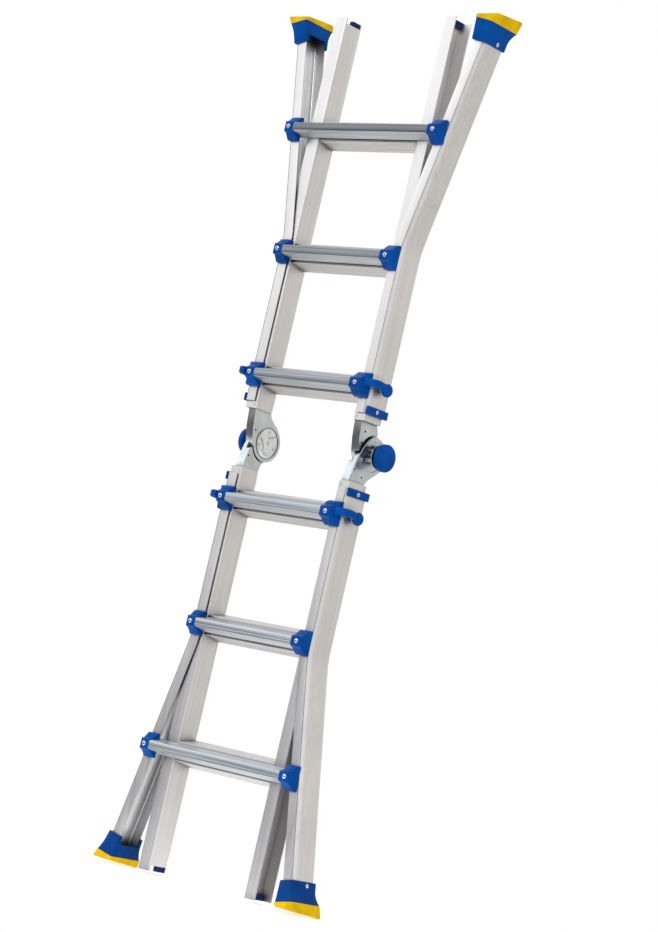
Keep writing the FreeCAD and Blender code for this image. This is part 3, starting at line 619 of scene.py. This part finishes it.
def knob(bm):
    """Push knob: a flat cap with a softened rim on a hub that runs back to the hinge."""
    cap = [(0, 29.0), (0.4, 29.7), (1.5, 30), (9.5, 30), (11.3, 29.2), (12.3, 27.5), (12.8, 22),
           (13, 10), (13, 0)]
    lathe(bm, cap, (KNOB_X, PIVOT_Y, PIVOT_Z), X_AXIS, 72)
    lathe(bm, [(0, 16), (KNOB_X - HUB_X + 0.2, 16)], (HUB_X, PIVOT_Y, PIVOT_Z), X_AXIS, 48)


# ---------------------------------------------------------------- assembly

def add_rails(paints):
    add(shape(outer_rail), "{half}_outer_rail_{side}", "{half}_outer", paints, "rail_outer")
    add(carve(shape(inner_rail), shape(rail_notch)), "{half}_inner_rail_{side}", "{half}_inner",
        paints, "rail_inner")
    add(shape(rail_cover), "{half}_inner_rail_{side}", "{half}_inner", paints, "rail_inner",
        suffix="_cover")


def add_rungs(paints):
    for number, level in LEVELS.items():
        add(shape(rung(level, REACH[number], **OUTER_RUNG)), "{half}_outer_rung_%d" % number,
            "{half}_outer", paints, "rung_outer", sides=NO_SIDE)
        add(shape(rung(level, INNER_X, **INNER_RUNG)), "{half}_inner_rung_%d" % number,
            "{half}_inner", paints, "rung_inner", sides=NO_SIDE)


def add_brackets(paints):
    for number in LEVELS:
        node = "{half}_latch_brackets" if number == 1 else "{half}_plain_brackets"
        add(carve(shape(bracket(number)), shape(rivet_seat(number))), node, "{half}_outer",
            paints, "blue_plastic", suffix="_%d" % number)
        add(shape(front_rivet(number)), "{half}_fasteners", "{half}_outer", paints, "rivet",
            suffix="_rivet_%d" % number)


def add_screws(paints):
    add(shape(pan_screw((RAIL_X + 3.5, LOCK_Y, RAIL_TOP - 8), X_AXIS)), "{half}_fasteners",
        "{half}_outer", paints, "rivet", suffix="_guide_screw")
    seat = flared((3, -1, 38))
    outwards = flared((4, -1, 38)) - seat
    add(shape(pan_screw(seat, outwards)), "{half}_fasteners", "{half}_outer", paints, "rivet",
        suffix="_boot_screw")


def add_levers(paints):
    for half, lift in (("lower", 4.5), ("upper", -4.5)):
        add(shape(lever(lift)), "{half}_lock_lever_{side}", "{half}_latch_{side}", paints,
            "blue_plastic", halves=(half,))


def add_ends(paints):
    add(shape(end_guide), "{half}_end_guides", "{half}_outer", paints, "blue_plastic")
    add(shape(insert), "{half}_inserts", "{half}_inner", paints, "dark_insert")
    add(carve(carve(shape(boot), shape(boot_socket)), shape(boot_window)), "{half}_boot_{side}",
        "{half}_outer", paints, "blue_plastic")
    add(shape(sole), "{half}_sole_{side}", "{half}_outer", paints, "yellow_plastic")


def add_hinges(paints):
    for half, member in (("upper", upper_member), ("lower", lower_member)):
        add(carve(shape(member), shape(member_holes(half))), "{half}_hinge_{side}", "{half}_inner",
            paints, "zinc_steel", bevel=0.5, halves=(half,))
    for build, look, suffix in ((hinge_cap, "zinc_cap", "_cap"), (cap_marks, "pin_steel", "_marks")):
        add(shape(build), "{half}_hinge_{side}", "{half}_inner", paints, "zinc_steel", look=look,
            halves=("upper",), suffix=suffix)


def add_knobs(paints):
    """The knobs lie between the halves, so they aren't mirrored upwards; each rides its own body."""
    for side, sign in SIDES.items():
        add(shape(knob), "hinge_knob_" + side, "knob_" + side, paints, "blue_plastic",
            sides={side: sign}, halves=("lower",))


def build_pieces(paints):
    for add_group in (add_rails, add_rungs, add_brackets, add_screws, add_levers, add_ends,
                      add_hinges, add_knobs):
        add_group(paints)


# ---------------------------------------------------------------- materials

RAIL_ALUMINIUM = (0.86, 0.85, 0.84)
LINES_ALONG_Z, LINES_ALONG_X = (170, 170, 3), (4, 170, 170)

# A tint is a colour, then an axis and a band of places in metres, then, if it depends on them, an
# axis and a band of normals; it sets in from the first to the second value of each band. Most tints
# below are painted shade or a painted highlight on faces turned one way.
BEVEL_SHINE = ((1.10, 1.13, 1.16), "Y", (-0.0387, -0.0380), "Y", (-0.3, -0.45))
# Painted shade: front faces of the outer rungs darker higher up, from 0.6 m to fully at 1.72 m.
FRONT_SHADE = ((0.34, 0.33, 0.34), "Z", (0.6, 1.72), "Y", (-0.7, -0.97))
# Painted shade: front faces of the rails darker towards the floor, from 0.8 m down.
FOOT_SHADE = ((0.68, 0.68, 0.69), "Z", (0.8, 0.0), "Y", (-0.7, -0.97))
# Upward faces of the outer rungs darker from 0.3 m up, fully from 0.6 m.
TREAD_DARKENING = ((0.78, 0.78, 0.79), "Z", (0.3, 0.6), "Z", (0.3, 0.6))
# Painted shade: blue parts darker near the floor, below 0.2 m and fully below 0.1 m.
BOOT_SHADE = ((0.70, 0.68, 0.70), "Z", (0.20, 0.10))
ZINC_SHADE = ((0.42, 0.39, 0.37), "Z", (0.965, 0.98), "Y", (-0.7, -0.95))


def scaled(colour, factor):
    return tuple(min(1.0, channel * factor) for channel in colour)


def fill_ramp(ramp, stops):
    """Give a new colour ramp its stops, each a position and a colour."""
    for element, (position, colour) in zip(ramp.elements, (stops[0], stops[-1])):
        element.position = position
        element.color = colour + (1,)
    for position, colour in stops[1:-1]:
        ramp.elements.new(position).color = colour + (1,)


class Paint:
    """Short cuts for building one procedural material."""

    def __init__(self, name):
        self.material = bpy.data.materials.new(name)
        self.material.use_nodes = True
        self.tree = self.material.node_tree
        self.shader = self.tree.nodes["Principled BSDF"]
        coordinates = self.node("ShaderNodeTexCoord")
        self.place = coordinates.outputs["Object"]
        self.facing = coordinates.outputs["Normal"]

    def node(self, kind, **settings):
        made = self.tree.nodes.new(kind)
        for key, value in settings.items():
            setattr(made, key, value)
        return made

    def link(self, source, target):
        self.tree.links.new(source, target)

    def set(self, **values):
        for key, value in values.items():
            self.shader.inputs[key.replace("_", " ")].default_value = value

    def share(self, source, axis, start, end):
        """How far one coordinate has gone from start to end, as 0 to 1."""
        split = self.node("ShaderNodeSeparateXYZ")
        self.link(source, split.inputs[0])
        made = self.node("ShaderNodeMapRange")
        made.inputs["From Min"].default_value = start
        made.inputs["From Max"].default_value = end
        self.link(split.outputs[axis], made.inputs["Value"])
        return made.outputs["Result"]

    def noise(self, scale, detail=3.0, stretch=(1, 1, 1)):
        """Noise that follows the object; a small stretch value draws it out along that axis."""
        turned = self.node("ShaderNodeMapping")
        turned.inputs["Scale"].default_value = stretch
        self.link(self.place, turned.inputs["Vector"])
        made = self.node("ShaderNodeTexNoise")
        made.inputs["Scale"].default_value = scale
        made.inputs["Detail"].default_value = detail
        self.link(turned.outputs["Vector"], made.inputs["Vector"])
        return made.outputs["Fac"]

    def ramp(self, source, stops):
        made = self.node("ShaderNodeValToRGB")
        fill_ramp(made.color_ramp, stops)
        self.link(source, made.inputs["Fac"])
        return made.outputs["Color"]

    def range(self, source, low, high):
        """Spread the middle of a noise, 0.3 to 0.7, over low to high."""
        made = self.node("ShaderNodeMapRange")
        made.inputs["From Min"].default_value = 0.3
        made.inputs["From Max"].default_value = 0.7
        made.inputs["To Min"].default_value = low
        made.inputs["To Max"].default_value = high
        self.link(source, made.inputs["Value"])
        return made.outputs["Result"]

    def multiply(self, factor, first, second):
        """Multiply first by second as far as the factor goes; each is a value or a socket."""
        made = self.node("ShaderNodeMix", data_type="RGBA", blend_type="MULTIPLY")
        for socket, value in ((made.inputs[0], factor), (made.inputs[6], first), (made.inputs[7], second)):
            if isinstance(value, float):
                socket.default_value = value
            elif isinstance(value, tuple):
                socket.default_value = value + (1,)
            else:
                self.link(value, socket)
        return made.outputs[2]

    def bump(self, height, strength, distance):
        made = self.node("ShaderNodeBump")
        made.inputs["Strength"].default_value = strength
        made.inputs["Distance"].default_value = distance
        self.link(height, made.inputs["Height"])
        self.link(made.outputs["Normal"], self.shader.inputs["Normal"])

    def colour(self, source):
        self.link(source, self.shader.inputs["Base Color"])

    def recess_shade(self, source, darkest, distance, full=0.25, strength=1.0):
        """Painted shade: darken recesses and gaps, where little light gets in."""
        near = self.node("ShaderNodeAmbientOcclusion")
        near.samples = 8
        near.inputs["Distance"].default_value = distance
        shade = self.ramp(near.outputs["AO"], [(full, darkest), (0.85, (1.0, 1.0, 1.0))])
        return self.multiply(strength, source, shade)

    def tinted(self, source, tint, axis, band, normal_axis=None, turned=None):
        """Multiply by tint where the place, and the normal if given, are inside their bands."""
        inside = self.share(self.place, axis, *band)
        if normal_axis:
            both = self.node("ShaderNodeMath", operation="MULTIPLY")
            self.link(self.share(self.facing, normal_axis, *turned), both.inputs[0])
            self.link(inside, both.inputs[1])
            inside = both.outputs[0]
        return self.multiply(inside, source, tint)

    def rough(self, source):
        self.link(source, self.shader.inputs["Roughness"])


def extruded_metal(name, colour, rough, stretch, contrast, deepest, full=0.25, tints=(),
                   low_shade=False):
    """Aluminium extrusion with drawing lines, soft clouds, painted shade in recesses and local tints.

    The painted shade reaches its deepest where the openness has dropped to full, and low_shade adds a
    warmer layer of it towards the floor.
    """
    paint = Paint(name)
    paint.set(Metallic=1.0)
    lines = paint.noise(1.0, 2.0, stretch)
    clouds = paint.noise(9.0, 3.0)
    dark, light = scaled(colour, 1 - contrast), scaled(colour, 1 + contrast)
    fine = paint.ramp(lines, [(0.35, dark), (0.65, light)])
    broad = paint.ramp(clouds, [(0.3, (0.93, 0.93, 0.94)), (0.7, (1.0, 1.0, 1.0))])
    surface = paint.multiply(1.0, fine, broad)
    # Tints: painted shade and a painted highlight on faces turned one way.
    for tint_band in tints:
        surface = paint.tinted(surface, *tint_band)
    # Painted shade in recesses and gaps, by their openness.
    surface = paint.recess_shade(surface, (deepest, deepest, deepest), 0.035, full)
    # More painted shade in recesses towards the floor.
    if low_shade:
        low = paint.share(paint.place, "Z", 0.9, 0.1)
        surface = paint.recess_shade(surface, (0.56, 0.53, 0.50), 0.035, strength=low)
    paint.colour(surface)
    paint.rough(paint.range(lines, rough - 0.05, rough + 0.06))
    paint.bump(lines, 0.10, 0.0003)
    return paint.material


def moulded_plastic(name, colour, rough, grain, tints=()):
    """Moulded plastic with a fine grain and slight unevenness of colour."""
    paint = Paint(name)
    paint.set(Specular_IOR_Level=0.06)
    clouds = paint.noise(26.0, 4.0)
    specks = paint.noise(grain, 2.0)
    surface = paint.ramp(clouds, [(0.3, scaled(colour, 0.76)), (0.7, scaled(colour, 1.2))])
    # Tints: painted shade near the floor.
    for tint_band in tints:
        surface = paint.tinted(surface, *tint_band)
    paint.colour(surface)
    paint.rough(paint.range(specks, rough - 0.05, rough + 0.08))
    paint.bump(specks, 0.12, 0.0003)
    return paint.material


def plated_steel(name, colour, rough, tints=()):
    """Zinc plated steel with cloudy blue and pale patches."""
    paint = Paint(name)
    paint.set(Metallic=1.0)
    clouds = paint.noise(30.0, 5.0)
    fine = paint.noise(400.0, 2.0)
    patches = [(0.3, scaled(colour, 0.86)), (0.55, colour), (0.75, scaled(colour, 1.15))]
    surface = paint.ramp(clouds, patches)
    # Tints: painted shade, such as on the front faces of the upper hinge members.
    for tint_band in tints:
        surface = paint.tinted(surface, *tint_band)
    # Painted shade in the recesses of the plated parts.
    paint.colour(paint.recess_shade(surface, (0.22, 0.25, 0.27), 0.02))
    paint.rough(paint.range(clouds, rough - 0.08, rough + 0.08))
    paint.bump(fine, 0.06, 0.0002)
    return paint.material


def make_paints():
    # deepest and full set the painted shade in recesses and gaps; the inner rails get more of it towards
    # the floor.
    return {
        "rail_outer": extruded_metal("rail_outer", RAIL_ALUMINIUM, 0.38, LINES_ALONG_Z,
                                     contrast=0.035, deepest=0.24, tints=[BEVEL_SHINE, FOOT_SHADE]),
        "rail_inner": extruded_metal("rail_inner", RAIL_ALUMINIUM, 0.38, LINES_ALONG_Z,
                                     contrast=0.035, deepest=0.75, tints=[FOOT_SHADE], low_shade=True),
        "rung_outer": extruded_metal("rung_outer", (0.58, 0.625, 0.66), 0.34, LINES_ALONG_X,
                                     contrast=0.16, deepest=0.3, tints=[FRONT_SHADE, TREAD_DARKENING]),
        "rung_inner": extruded_metal("rung_inner", (0.72, 0.71, 0.70), 0.36, LINES_ALONG_X,
                                     contrast=0.10, deepest=0.12, full=0.5),
        "zinc_steel": plated_steel("zinc_steel", (0.70, 0.76, 0.78), 0.30, [ZINC_SHADE]),
        "zinc_cap": plated_steel("zinc_cap", (0.95, 0.98, 0.98), 0.28),
        "blue_plastic": moulded_plastic("blue_plastic", (0.0, 0.074, 0.36), 0.3, 900.0, [BOOT_SHADE]),
        "yellow_plastic": moulded_plastic("yellow_plastic", (0.84, 0.53, 0.0), 0.5, 700.0),
        "dark_insert": moulded_plastic("dark_insert", (0.01, 0.03, 0.13), 0.4, 900.0),
        "rivet": plated_steel("rivet", (0.80, 0.80, 0.82), 0.2),
        "pin_steel": plated_steel("pin_steel", (0.62, 0.63, 0.66), 0.25),
        "spring_steel": plated_steel("spring_steel", (0.45, 0.46, 0.48), 0.3),
    }


def paint_cad(frame, paints):
    """Paint the CAD parts by the slots that the record gives them."""
    slots = {entry["node"]: entry["material_slot"] for entry in frame["record"]["subparts"]}
    for node, thing in frame["nodes"].items():
        for slot in thing.material_slots:
            slot.material = paints[slots[node]]


# ---------------------------------------------------------------- studio

# A sky is a list of stops, each a rise, from -1 straight down to 1 straight up, and a colour.
FRONT_SKY = [(-1.0, (1.0, 0.97, 0.94)), (-0.5, (0.95, 0.92, 0.89)), (-0.25, (0.25, 0.25, 0.26)),
             (0.0, (0.28, 0.29, 0.31)), (0.08, (0.46, 0.47, 0.50)), (0.2, (1.55, 1.55, 1.57)),
             (0.4, (1.3, 1.3, 1.32)), (0.8, (0.7, 0.71, 0.73))]
BACK_SKY = [(-1.0, (1.0, 0.98, 0.96)), (-0.5, (0.92, 0.90, 0.88)), (-0.25, (0.50, 0.48, 0.46)),
            (0.0, (0.62, 0.595, 0.57)), (0.3, (0.72, 0.69, 0.66)), (0.8, (0.72, 0.72, 0.73))]
BACK_RIGHT = (0.68, 0.73, 0)
FLOOR_RADIUS, FLOOR_GLOW = 0.95, 0.5


def make_camera():
    """Long lens from the front right, low down and rolled so that the ladder leans."""
    data = bpy.data.cameras.new("camera")
    data.lens = LENS
    data.sensor_width = SENSOR
    camera = bpy.data.objects.new("camera", data)
    bpy.context.scene.collection.objects.link(camera)
    back = -Vector(CAMERA_FORWARD).normalized()
    right = Vector(CAMERA_RIGHT)
    right = (right - right.dot(back) * back).normalized()
    up = back.cross(right)
    turn = Matrix((right, up, back)).transposed()
    camera.matrix_world = Matrix.Translation(CAMERA_PLACE) @ turn.to_4x4()
    bpy.context.scene.camera = camera


def make_world():
    """White backdrop; reflections see a room, bluer at the front left and warmer at the back right."""
    world = bpy.data.worlds.new("studio")
    world.use_nodes = True
    bpy.context.scene.world = world
    tree = world.node_tree
    direction = tree.nodes.new("ShaderNodeTexCoord").outputs["Generated"]
    front, back = (sky_colour(tree, direction, stops) for stops in (FRONT_SKY, BACK_SKY))
    room = mix_colours(tree, back_share(tree, direction), front, back)
    white = tree.nodes.new("ShaderNodeRGB").outputs[0]
    white.default_value = (1, 1, 1, 1)
    seen = tree.nodes.new("ShaderNodeLightPath").outputs["Is Camera Ray"]
    backdrop = mix_colours(tree, seen, room, white)
    tree.links.new(backdrop, tree.nodes["Background"].inputs["Color"])


def sky_colour(tree, direction, stops):
    """Colour of one sky in a direction, by how far the direction rises."""
    split = tree.nodes.new("ShaderNodeSeparateXYZ")
    tree.links.new(direction, split.inputs[0])
    height = tree.nodes.new("ShaderNodeMapRange")
    height.inputs["From Min"].default_value = -1
    tree.links.new(split.outputs["Z"], height.inputs["Value"])
    sky = tree.nodes.new("ShaderNodeValToRGB")
    fill_ramp(sky.color_ramp, [(0.5 + 0.5 * rise, colour) for rise, colour in stops])
    tree.links.new(height.outputs["Result"], sky.inputs["Fac"])
    return sky.outputs["Color"]


def back_share(tree, direction):
    """0 for a direction to the front left, 1 to the back right, with a soft change between."""
    facing = tree.nodes.new("ShaderNodeVectorMath")
    facing.operation = "DOT_PRODUCT"
    facing.inputs[1].default_value = BACK_RIGHT
    tree.links.new(direction, facing.inputs[0])
    fade = tree.nodes.new("ShaderNodeMapRange")
    fade.interpolation_type = "SMOOTHSTEP"
    fade.inputs["From Min"].default_value = -0.3
    fade.inputs["From Max"].default_value = 0.3
    tree.links.new(facing.outputs["Value"], fade.inputs["Value"])
    return fade.outputs["Result"]


def mix_colours(tree, factor, first, second):
    mix = tree.nodes.new("ShaderNodeMix")
    mix.data_type = "RGBA"
    tree.links.new(factor, mix.inputs[0])
    tree.links.new(first, mix.inputs[6])
    tree.links.new(second, mix.inputs[7])
    return mix.outputs[2]


def make_floor():
    """Pale round floor that glows a little, so that it fades into the backdrop."""
    bm = bmesh.new()
    bmesh.ops.create_circle(bm, cap_ends=True, segments=96, radius=FLOOR_RADIUS)
    mesh = bpy.data.meshes.new("floor")
    bm.to_mesh(mesh)
    bm.free()
    floor = bpy.data.objects.new("floor", mesh)
    bpy.context.scene.collection.objects.link(floor)
    paint = Paint("floor")
    paint.set(Roughness=0.9, Specular_IOR_Level=0.0)
    paint.colour(paint.ramp(paint.noise(3.0), [(0.3, (0.79, 0.79, 0.79)), (0.7, (0.80, 0.80, 0.80))]))
    paint.shader.inputs["Emission Color"].default_value = (1, 1, 1, 1)
    paint.shader.inputs["Emission Strength"].default_value = FLOOR_GLOW
    mesh.materials.append(paint.material)


def make_light(name, place, target, size, power):
    """Round area light; place, target and size are in metres and power in watts."""
    data = bpy.data.lights.new(name, "AREA")
    data.shape = "DISK"
    data.size = size
    data.energy = power
    light = bpy.data.objects.new(name, data)
    bpy.context.scene.collection.objects.link(light)
    light.location = place
    light.rotation_euler = (Vector(target) - Vector(place)).to_track_quat("-Z", "Y").to_euler()


def main():
    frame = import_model()
    bpy.context.scene.view_settings.view_transform = "Standard"
    make_camera()
    make_world()
    make_floor()
    make_light("key", place=(2.5, -4.5, 5.0), target=(0, 0, 1.0), size=2.5, power=60)
    paints = make_paints()
    paint_cad(frame, paints)
    build_pieces(paints)


main()
